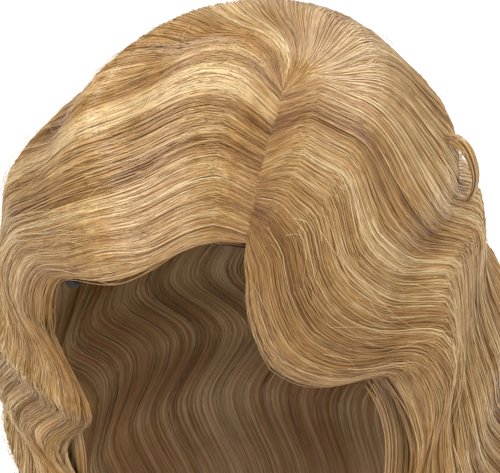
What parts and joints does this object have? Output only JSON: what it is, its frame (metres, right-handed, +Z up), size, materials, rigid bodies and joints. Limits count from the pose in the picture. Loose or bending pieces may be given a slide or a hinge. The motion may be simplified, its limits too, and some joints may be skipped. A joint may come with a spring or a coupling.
{
  "type": "finger wave wig",
  "caption": "Side-parted blonde wig in finger waves: a hollow stretch-net cap with a skin-toned parting, covered in S-waved tresses that fall to just under the chin.",
  "frame": {"origin": "inside of the cap's crown, at its highest point, where the top of a head touches it", "axes": "+Z up out of the crown, -Y the way the face looks, +X the wearer's left, the side with the parting"},
  "size_m": [0.2254, 0.2108, 0.2773],
  "materials": {
    "hair": "soft sheen of fine straight fibre, honey blonde with paler and darker streaks",
    "cap_net": "dark brown stretch net with sewn wefts",
    "parting_skin": "matte skin-toned mesh"
  },
  "bodies": {
    "root": {"cap": "cap_net", "parting_strip": "parting_skin", "tress_left_1": "hair", "tress_left_2": "hair", "tress_left_3": "hair", "tress_back_1": "hair", "tress_back_2": "hair", "tress_back_3": "hair", "tress_back_4": "hair", "tress_back_5": "hair", "tress_back_6": "hair", "tress_back_7": "hair", "tress_back_8": "hair", "tress_right_3": "hair", "tress_right_2": "hair", "tress_right_1": "hair", "under_tress_left": "hair", "under_tress_right": "hair", "flipped_lock": "hair"}
  },
  "joints": []
}
